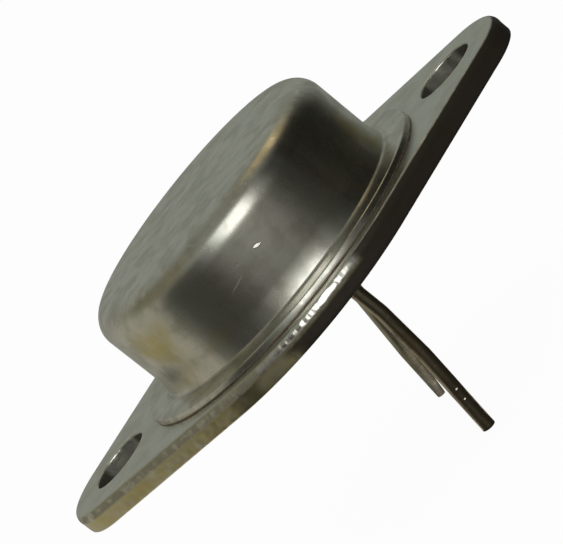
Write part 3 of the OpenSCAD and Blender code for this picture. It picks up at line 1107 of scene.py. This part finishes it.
        owner = [i for loop in loops for i in loop]
        flat = [skin.points[i].to_2d() for i in owner]
        edges, start = [], 0
        for loop in loops:
            edges += [(start + i, start + (i + 1) % len(loop)) for i in range(len(loop))]
            start += len(loop)
        across, along = int(self.mid_r / self.grid), int((self.hole_x + self.end_r) / self.grid)
        for j in range(-across, across + 1):
            for i in range(-along, along + 1):
                place = Vector(((i + 0.5 * (j % 2)) * self.grid, j * self.grid, height))
                if inside(place.x, place.y, 0.3 * self.grid):
                    flat.append(place.to_2d())
                    owner.append(skin.point(place, self.marks(place)))
        verts, _, faces, origin, _, _ = delaunay_2d_cdt(flat, edges, [], 0, 1e-7)
        known = [owner[o[0]] for o in origin]
        for a, b, c in faces:
            middle = (verts[a] + verts[b] + verts[c]) / 3.0
            if inside(middle.x, middle.y, self.slack):
                corners = (known[a], known[b], known[c])
                skin.faces.append(corners if upward else corners[::-1])

    def marks(self, place: Vector) -> Marks:
        """Edge, darkening and band of the plate's faces at a place: worn at the hole mouths, darker next to
        the can's lip.
        """
        mouth = math.hypot(abs(place.x) - self.hole_x, place.y) - self.hole_r
        near_can = smooth(self.near_can_reach, 0.0, abs(math.hypot(place.x, place.y) - self.lip_r))
        soil = self.near_can_dark * near_can if place.z > self.thickness / 2.0 else 0.0
        return self.mouth_wear * smooth(*self.mouth_reach, mouth), soil, 0.0

    def rim_marks(self, place: Vector, inset: float) -> Marks:
        """Edge, soil and painted shade, and band of the rim at a place in its section."""
        down = self.thickness - place.z
        # dark is painted shade on the rim's front and right, deepest low on the side.
        dark = self.painted_rim_shade(place)
        flank = smooth(*self.flank_from, math.degrees(math.atan2(place.x, -place.y)))
        brow = smooth(*self.brow_depths, down)
        crest = smooth(*self.crest_depths, down) * smooth(*self.crest_insets, inset)
        crest *= (0.3 + 0.7 * dark) * (1.0 - 0.7 * flank)
        bottom = self.bottom_wear * smooth(0.2, 0.0, place.z)
        band = smooth(*self.band_depths, down) * min(1.0, 0.85 + 0.35 * ripple(place, 0.8, 9.0))
        band = max(band, self.bevel_band * brow * (1.0 - dark))
        low = 0.65 * smooth(*self.shade_depths, down) + 0.35 * smooth(*self.deep_shade_depths, down)
        brown = self.brown_soil * smooth(*self.brown_depths, down) * smooth(*self.brown_ends, down)
        return max(crest, bottom), max(dark * low, dark * flank * brow, brown * (1.0 - dark)), band

    def build(self, effects: Effects) -> None:
        """Builds and dresses the plate.

        Args:
            effects: The shared effects.
        """
        skin = Skin()
        outline = self.outline()
        rows = []
        for inset, height in self.rim():
            row = []
            for place, out in outline:
                spot = place + Vector((0.0, 0.0, height))
                bitten = inset + self.bite(spot, height)
                row.append(skin.point(spot - out * bitten, self.rim_marks(spot, inset)))
            rows.append(row)
        for upper, lower in zip(rows, rows[1:]):
            skin.bridge(lower, upper)
        tops, bottoms = [rows[0]], [rows[-1]]
        roll, brk, top = self.mouth_roll_r, self.mouth_break, self.thickness
        bore = chain(
            [(self.hole_r + brk, 0.0), (self.hole_r, brk)],
            line((self.hole_r, brk), (self.hole_r, top - roll), 5),
            arc((self.hole_r + roll, top - roll), roll, 180.0, 90.0, 6),
        )
        holes = [lathe(skin, bore, self.hole_steps, (x, 0.0), marks=self.bore_marks, closed=False)
                 for x in (self.hole_x, -self.hole_x)]
        holes += [lathe(skin, line((reach, 0.0), (reach, top), 4), self.seal_steps, (x, y), closed=False)
                  for x, y, reach in self.seals]
        tops += [loops[-1] for loops in holes]
        bottoms += [loops[0] for loops in holes]
        self.face(skin, tops, top, True)
        self.face(skin, bottoms, 0.0, False)
        settle(skin, "punched_plate", "mounting_plate", self.finish.material(effects))

    def bore_marks(self, place: Vector) -> Marks:
        """Edge, painted shade and band in the bore of a mounting hole at a place."""
        down = self.thickness - place.z
        rubbed = smooth(*self.bore_rubbed, abs(place.y) / self.hole_r)
        # Painted shade darkens the bore, with less of it on its front and back walls.
        soil = (self.bore_shade - 0.75 * rubbed) * smooth(0.0, 0.12, down)
        return smooth(0.3, 0.0, down) * rubbed, soil, 0.5 * smooth(*self.bore_torn, place.z)


# ---- weld and glass


@dataclass
class WeldRing:
    """The collapsed weld under the lip, with the flash that it squeezed out."""

    inset: float = 0.3
    width: float = 0.8
    flash: float = 0.28
    flash_swing: float = 0.1
    flash_width: float = 0.7
    steps: int = 360
    finish: MetalFinish = WELD_STEEL

    def build(self, effects: Effects) -> None:
        """Builds and dresses the weld.

        Args:
            effects: The shared effects.
        """
        low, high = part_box("weld_ring")
        floor, top, reach = low.z / MM, high.z / MM, high.x / MM
        middle, half = (floor + top) / 2.0, (top - floor) / 2.0
        inner = reach - self.width
        section = chain(
            [(inner, top), (reach, top)],
            arc((reach, middle), half, 90.0, -90.0, 6),
            [(reach, floor), (inner, floor)],
        )

        def squeeze(place: Vector) -> float:
            """How far the flash runs out at a place."""
            uneven = 0.94 + self.flash_swing * ripple(place, self.flash_width, 4.0)
            return self.flash * uneven * smooth(-0.01, half, math.hypot(place.x, place.y) - reach)

        skin = Skin()
        lathe(skin, section, self.steps, offset=squeeze)
        settle(skin, "weld_flash", "weld_ring", self.finish.material(effects))


@dataclass
class GlassSeal:
    """A glass bead fused between a lead and the plate, with a meniscus on each face."""

    node: str
    lead_d: float = 0.9
    dish: float = 0.15
    climb: float = 0.05
    rows: int = 14
    steps: int = 64

    def build(self, material: bpy.types.Material) -> None:
        """Builds and dresses the bead.

        Args:
            material: The glass.
        """
        low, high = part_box(self.node)
        reach = (high.x - low.x) / 2.0 / MM
        floor, top = low.z / MM, high.z / MM
        centre = ((low.x + high.x) / 2.0 / MM, (low.y + high.y) / 2.0 / MM)
        wire = self.lead_d / 2.0
        face = []
        for along in (i / self.rows for i in range(self.rows + 1)):
            sink = self.dish * math.sin(math.pi * min(1.0, 1.15 * (1.0 - along)) / 2.0) ** 1.5
            sink -= self.climb * (1.0 - along) ** 4
            face.append((wire + (reach - wire) * along, sink))
        over = [(r, top - s) for r, s in face]
        under = [(r, floor + s) for r, s in reversed(face)]
        skin = Skin()
        lathe(skin, chain(over, line((reach, top), (reach, floor), 3), under), self.steps, centre=centre)
        settle(skin, self.node.replace("glass_seal", "seal_bead"), self.node, material)


# ---- the leads


@dataclass
class Lead:
    """A lead: its head inside, a straight root through the glass, then bends and runs made by hand.

    A wire's taper, and the painted shade that darkens its tip, start at a length from its end.
    """

    node: str
    name: str
    slot: str
    finish: MetalFinish
    runs: tuple[float, ...]
    bends: tuple[float, ...]
    taper: float = 0.0
    tip_d: float = 0.9
    wire_d: float = 0.9
    head_d: float = 1.8
    head_t: float = 0.35
    head_break: float = 0.04
    bend_r: float = 4.0
    tip_break: float = 0.035
    tip_shade: float = 0.0
    shaded_length: Span = (4.0, 1.5)
    # How much darker the wire is just below the plate.
    root_dark: float = 0.8
    root_heights: Span = (-1.2, -0.2)
    steps: int = 40

    @staticmethod
    def down(lean: float) -> Vector:
        """Direction of a wire that hangs down and leans towards -X by an angle."""
        return Vector((-math.sin(lean), 0.0, -math.cos(lean)))

    def path(self, top: float) -> list[tuple[Vector, Vector, float]]:
        """The wire's middle line from its top down.

        Args:
            top: Height of its inner end.

        Returns:
            Places, each with the direction of the wire there and the length still to run.
        """
        place, lean = Vector((0.0, 0.0, top)), 0.0
        found = [(place.copy(), self.down(lean))]
        lengths = [0.0]

        def go(length: float, turn: float, count: int) -> None:
            """Runs on by a length while it turns."""
            nonlocal place, lean
            for _ in range(count):
                half = lean + turn / count / 2.0
                place = place + self.down(half) * (length / count)
                lean += turn / count
                found.append((place.copy(), self.down(lean)))
                lengths.append(lengths[-1] + length / count)

        go(top + self.runs[0], 0.0, 24)
        for bend, run in zip(self.bends, self.runs[1:]):
            turn = math.radians(bend)
            go(self.bend_r * turn, turn, 8)
            go(run, 0.0, max(8, round(run / 0.2)))
        whole = lengths[-1]
        return [(p, d, whole - s) for (p, d), s in zip(found, lengths)]

    def radius(self, left: float) -> float:
        """Radius of the wire where a length is still to run."""
        wire, tip = self.wire_d / 2.0, self.tip_d / 2.0
        if left < self.taper:
            return tip + (wire - tip) * left / self.taper
        return wire

    def build(self, effects: Effects) -> None:
        """Builds and dresses the lead.

        Args:
            effects: The shared effects.
        """
        low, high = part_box(self.node)
        centre = Vector((high.x / MM - self.head_d / 2.0, (low.y + high.y) / 2.0 / MM, 0.0))
        top = high.z / MM
        skin = Skin()
        side = Vector((0.0, 1.0, 0.0))
        head, brk, down = self.head_d / 2.0, self.head_break, self.down(0.0)
        shape = ((0.0, head - brk), (brk, head), (self.head_t - brk, head), (self.head_t, head - brk))
        rings = [(Vector((0.0, 0.0, top - drop)), down, reach, 0.0) for drop, reach in shape]
        path = self.path(top)
        below = [p for p in path[:-1] if p[0].z <= top - self.head_t - 0.01]
        rings += [(place, way, self.radius(left), 0.0) for place, way, left in below]
        end, way, _ = path[-1]
        tip, brk = self.radius(0.0), self.tip_break
        for back, reach, edge in ((brk, tip, 0.6), (0.3 * brk, tip - 0.3 * brk, 1.0), (0.0, tip - brk, 1.0),
                                  (0.0, 0.55 * tip, 0.4)):
            rings.append((end - way * back, way, reach, edge))
        loops = []
        for place, way, reach, edge in rings:
            # Painted shade darkens the wire towards its tip.
            tipped = self.tip_shade * smooth(*self.shaded_length, (end - place).length)
            out = side.cross(way).normalized()
            loop = []
            for i in range(self.steps):
                turn = 2.0 * math.pi * i / self.steps
                spot = centre + place + (out * math.cos(turn) + side * math.sin(turn)) * reach
                soil = max(tipped, self.root_dark * smooth(*self.root_heights, spot.z))
                loop.append(skin.point(spot, (edge, soil, 0.0)))
            loops.append(loop)
        for upper, lower in zip(loops, loops[1:]):
            skin.bridge(upper, lower)
        skin.fan(loops[0], skin.point(centre + Vector((0.0, 0.0, top))), flip=True)
        skin.fan(loops[-1], skin.point(centre + end))
        settle(skin, self.name, self.node, self.finish.material(effects))


# ---- the studio


@dataclass(frozen=True)
class Card:
    """A card in the light tent. Bearings turn from +Y towards +X; height is its elevation."""

    name: str
    tone: Colour
    bearing: float
    reach: float
    feather: float
    low: float = -90.0
    high: float = 90.0
    rise: float = 15.0

    def share(self, bearing: float, height: float) -> float:
        """How much of the card shows in a direction.

        Args:
            bearing: The direction's bearing.
            height: Its elevation.

        Returns:
            A number from 0 to 1.
        """
        off = abs((bearing - self.bearing + 180.0) % 360.0 - 180.0)
        sideways = smooth(self.reach + self.feather, self.reach, off)
        upward = smooth(self.low - self.rise, self.low, height)
        return sideways * upward * smooth(self.high + self.rise, self.high, height)


@dataclass
class Studio:
    """The floor, the soft lamp, the tent of cards that the metal mirrors, and the surroundings.

    The tent's skirt is given as radius and height over its foot.
    """

    floor_half: float = 1500.0
    floor_tone: Colour = (0.95, 0.95, 0.95)
    floor_roughness: float = 0.9
    floor_white: float = 0.95
    tent_r: float = 250.0
    tent_foot_r: float = 5.0
    tent_steps: int = 120
    tent_eye: float = 3.0
    skirt: Profile = field(default_factory=lambda: [
        (50.0, 0.5), (58.0, 1.0), (64.0, 1.3), (70.0, 1.7), (78.0, 2.3), (90.0, 3.5), (110.0, 6.0),
        (160.0, 16.0), (205.0, 34.0)])
    floor_gap: float = 0.06
    tent_lift: float = 0.02
    lining: Colour = (0.24, 0.25, 0.225)
    cards: tuple[Card, ...] = (
        Card("back_sheet", (0.30, 0.32, 0.29), -12.0, 45.0, 35.0, high=40.0, rise=30.0),
        Card("left_sheet", (0.35, 0.345, 0.31), -62.0, 22.0, 40.0, high=30.0, rise=30.0),
        Card("left_flag", (0.05, 0.05, 0.045), -132.0, 14.0, 30.0, high=25.0, rise=25.0),
        Card("left_pane", (0.43, 0.42, 0.36), -80.0, 25.0, 10.0, high=18.0, rise=25.0),
        Card("left_shade", (0.20, 0.19, 0.13), -88.0, 22.0, 30.0, low=38.0, high=62.0, rise=14.0),
        Card("right_flag", (0.015, 0.015, 0.012), 92.0, 28.0, 40.0, high=40.0, rise=30.0),
        Card("front_sheet", (0.42, 0.42, 0.395), 170.0, 8.0, 26.0, high=20.0, rise=20.0),
        Card("dark_table", (0.035, 0.032, 0.028), 160.0, 50.0, 30.0, high=-11.0, rise=2.5),
        Card("warm_lamp", (0.88, 0.70, 0.40), 46.0, 20.0, 12.0, low=52.0, high=61.0, rise=8.0),
    )
    key_bearing: float = 169.0
    key_height: float = 33.0
    key_distance: float = 170.0
    key_width: float = 92.0
    key_length: float = 152.0
    key_watts: float = 0.0785
    key_colour: Colour = (0.95, 0.975, 1.0)
    fill: float = 0.62

    @staticmethod
    def direction(bearing: float, height: float) -> Vector:
        """Unit vector in a direction."""
        b, h = math.radians(bearing), math.radians(height)
        return Vector((math.sin(b) * math.cos(h), math.cos(b) * math.cos(h), math.sin(h)))

    @staticmethod
    def white_rays(graph: Graph) -> Wire:
        """1 for the rays that show the plain white surroundings, 0 for the rest."""
        camera, glossy, clear = (graph.read("LightPath", output=f"Is {kind} Ray")
                                 for kind in ("Camera", "Glossy", "Transmission"))
        return graph.math("MAXIMUM", graph.math("MAXIMUM", camera, glossy), clear)

    def surroundings(self) -> None:
        """White for the camera and for reflections, and a soft even light for the rest."""
        world = bpy.data.worlds.new("plain_white")
        world.use_nodes = True
        graph = Graph(world.node_tree)
        back = world.node_tree.nodes["Background"]
        levels = {"Value": self.white_rays(graph), "To Min": self.fill, "To Max": 1.0}
        strength = graph.read("MapRange", levels)
        back.inputs["Color"].default_value = (1.0, 1.0, 1.0, 1.0)
        graph.feed(back.inputs["Strength"], strength)
        bpy.context.scene.world = world

    @staticmethod
    def hang(name: str, points: list[Vector], faces: list[tuple[int, ...]]) -> bpy.types.Object:
        """Makes a mesh of the studio.

        Args:
            name: Its name.
            points: Its points, in metres.
            faces: Its faces.

        Returns:
            The object, in the scene.
        """
        mesh = bpy.data.meshes.new(name)
        mesh.from_pydata(points, [], faces)
        made = bpy.data.objects.new(name, mesh)
        bpy.context.scene.collection.objects.link(made)
        return made

    def floor(self, height: float) -> None:
        """A plain pale floor that keeps a faint shadow, and can be seen through from below.

        Args:
            height: Its height, in metres.
        """
        half = self.floor_half * MM
        corners = [Vector((x * half, y * half, height)) for x, y in ((-1, -1), (1, -1), (1, 1), (-1, 1))]
        plane = self.hang("floor", corners, [(0, 1, 2, 3)])
        made, graph, shader = new_material("pale_floor")
        shader.inputs["Base Color"].default_value = (*self.floor_tone, 1.0)
        shader.inputs["Roughness"].default_value = self.floor_roughness
        glow = graph.read("Emission", {"Color": (1.0, 1.0, 1.0), "Strength": 1.0})
        share = self.white_rays(graph) * self.floor_white
        lit = graph.read("MixShader", {0: share, 1: Wire(graph, shader.outputs[0]), 2: glow})
        under = graph.read("NewGeometry", output="Backfacing")
        both = graph.read("MixShader", {0: under, 1: lit, 2: graph.read("BsdfTransparent")})
        graph.feed(made.node_tree.nodes["Material Output"].inputs["Surface"], both)
        plane.data.materials.append(made)

    def tone(self, bearing: float, height: float) -> Colour:
        """Tone of the tent in a direction, with its cards over its lining."""
        shown = Vector(self.lining)
        for card in self.cards:
            shown = shown.lerp(Vector(card.tone), card.share(bearing, height))
        return (shown.x, shown.y, shown.z)

    def tent(self, floor: float) -> None:
        """The tent of cards, which only reflections show.

        Args:
            floor: Height of the floor, in metres.
        """
        base = floor / MM + self.tent_lift
        rows = [(self.tent_foot_r * 1.2**i, base) for i in range(12)]
        rows += [(reach, base + up) for reach, up in self.skirt]
        start = math.degrees(math.asin((base + 60.0) / self.tent_r))
        rows += arc((0.0, 0.0), self.tent_r, start, 90.0, 24)[:-1] + [(0.0, self.tent_r)]
        skin = Skin()
        lathe(skin, rows, self.tent_steps, closed=False)
        tent = self.hang("light_tent", [p * MM for p in skin.points], skin.faces)
        colours = tent.data.color_attributes.new("tone", "FLOAT_COLOR", "POINT")
        for i, place in enumerate(skin.points):
            bearing = math.degrees(math.atan2(place.x, place.y))
            height = math.degrees(math.atan2(place.z - self.tent_eye, math.hypot(place.x, place.y)))
            colours.data[i].color = (*self.tone(bearing, height), 1.0)
        log.info("light tent: %d points, %d cards", len(skin.points), len(self.cards))
        made, graph, _ = new_material("tent_cards")
        shade = graph.read("Attribute", output="Color", attribute_name="tone")
        glow = graph.read("Emission", {"Color": shade, "Strength": 1.0})
        graph.feed(made.node_tree.nodes["Material Output"].inputs["Surface"], glow)
        tent.data.materials.append(made)
        tent.visible_camera = tent.visible_diffuse = tent.visible_shadow = False
        tent.visible_transmission = tent.visible_volume_scatter = False

    def lamp(self) -> None:
        """The soft lamp, above and behind the camera."""
        data = bpy.data.lights.new("soft_key", "AREA")
        data.shape = "RECTANGLE"
        data.size, data.size_y = self.key_width * MM, self.key_length * MM
        data.energy = self.key_watts
        data.color = self.key_colour
        key = bpy.data.objects.new("soft_key", data)
        way = self.direction(self.key_bearing, self.key_height)
        key.location = way * self.key_distance * MM
        key.rotation_euler = (-way).to_track_quat("-Z", "Y").to_euler()
        key.visible_camera = False
        bpy.context.scene.collection.objects.link(key)

    def build(self, lowest: float) -> None:
        """Sets up the studio.

        Args:
            lowest: Height of the object's lowest point, in metres.
        """
        self.surroundings()
        ground = lowest - self.floor_gap * MM
        self.floor(ground)
        self.tent(ground)
        self.lamp()
        bpy.context.scene.view_settings.view_transform = "Standard"


@dataclass
class ViewCamera:
    """The camera: a long lens, low in front, rolled so that the plate lies across the picture."""

    aim: tuple[float, float, float] = (-0.209, 0.247, 1.178)
    azimuth: float = 4.873
    elevation: float = 12.19
    distance: float = 149.5
    roll: float = 51.25
    lens: float = 160.9
    sensor: float = 36.0

    def build(self) -> None:
        """Makes the scene's camera."""
        a, e = math.radians(self.azimuth), math.radians(self.elevation)
        back = Vector((math.sin(a) * math.cos(e), -math.cos(a) * math.cos(e), math.sin(e)))
        level = Vector((0.0, 0.0, 1.0)).cross(back).normalized()
        upright = back.cross(level)
        turn = math.radians(self.roll)
        up = upright * math.cos(turn) + level * math.sin(turn)
        right = up.cross(back)
        data = bpy.data.cameras.new("camera")
        data.lens, data.sensor_width = self.lens, self.sensor
        data.clip_start, data.clip_end = 0.005, 10.0
        camera = bpy.data.objects.new("camera", data)
        turned = Matrix((right, up, back)).transposed()
        place = (Vector(self.aim) + back * self.distance) * MM
        camera.matrix_world = Matrix.Translation(place) @ turned.to_4x4()
        bpy.context.scene.collection.objects.link(camera)
        bpy.context.scene.camera = camera


# ---- putting it together


def dress_inside(effects: Effects) -> None:
    """Gives each sealed solid its finish.

    Args:
        effects: The shared effects.
    """
    for part in Inside:
        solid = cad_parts[part.name]
        material = part.value.material(effects)
        for slot in solid.material_slots:
            slot.material = material
        log.info("%s: finish %s", part.name, material.name)


def main() -> None:
    """Builds the transistor's pieces, then the studio and the camera."""
    logging.basicConfig(level=logging.INFO, format="%(message)s")
    effects = Effects()
    MountingPlate().build(effects)
    WeldRing().build(effects)
    DrawnCan().build(effects)
    glass = GlassFinish().material(effects)
    for node in ("base_glass_seal", "emitter_glass_seal"):
        GlassSeal(node).build(glass)
    Lead("base_lead", "base_lead_wire", "base_lead_alloy", BASE_WIRE_ALLOY,
         runs=(3.4, 3.3, 5.779), bends=(5.3, 3.6)).build(effects)
    # The emitter lead's tip is darkened with painted shade.
    Lead("emitter_lead", "emitter_lead_wire", "emitter_lead_alloy", EMITTER_WIRE_ALLOY,
         runs=(0.4, 11.904), bends=(11.4,), taper=3.6, tip_d=0.56, tip_shade=0.55).build(effects)
    dress_inside(effects)
    Studio().build(PACKED_BOX[0].z)
    ViewCamera().build()


if __name__ == "__main__":
    main()
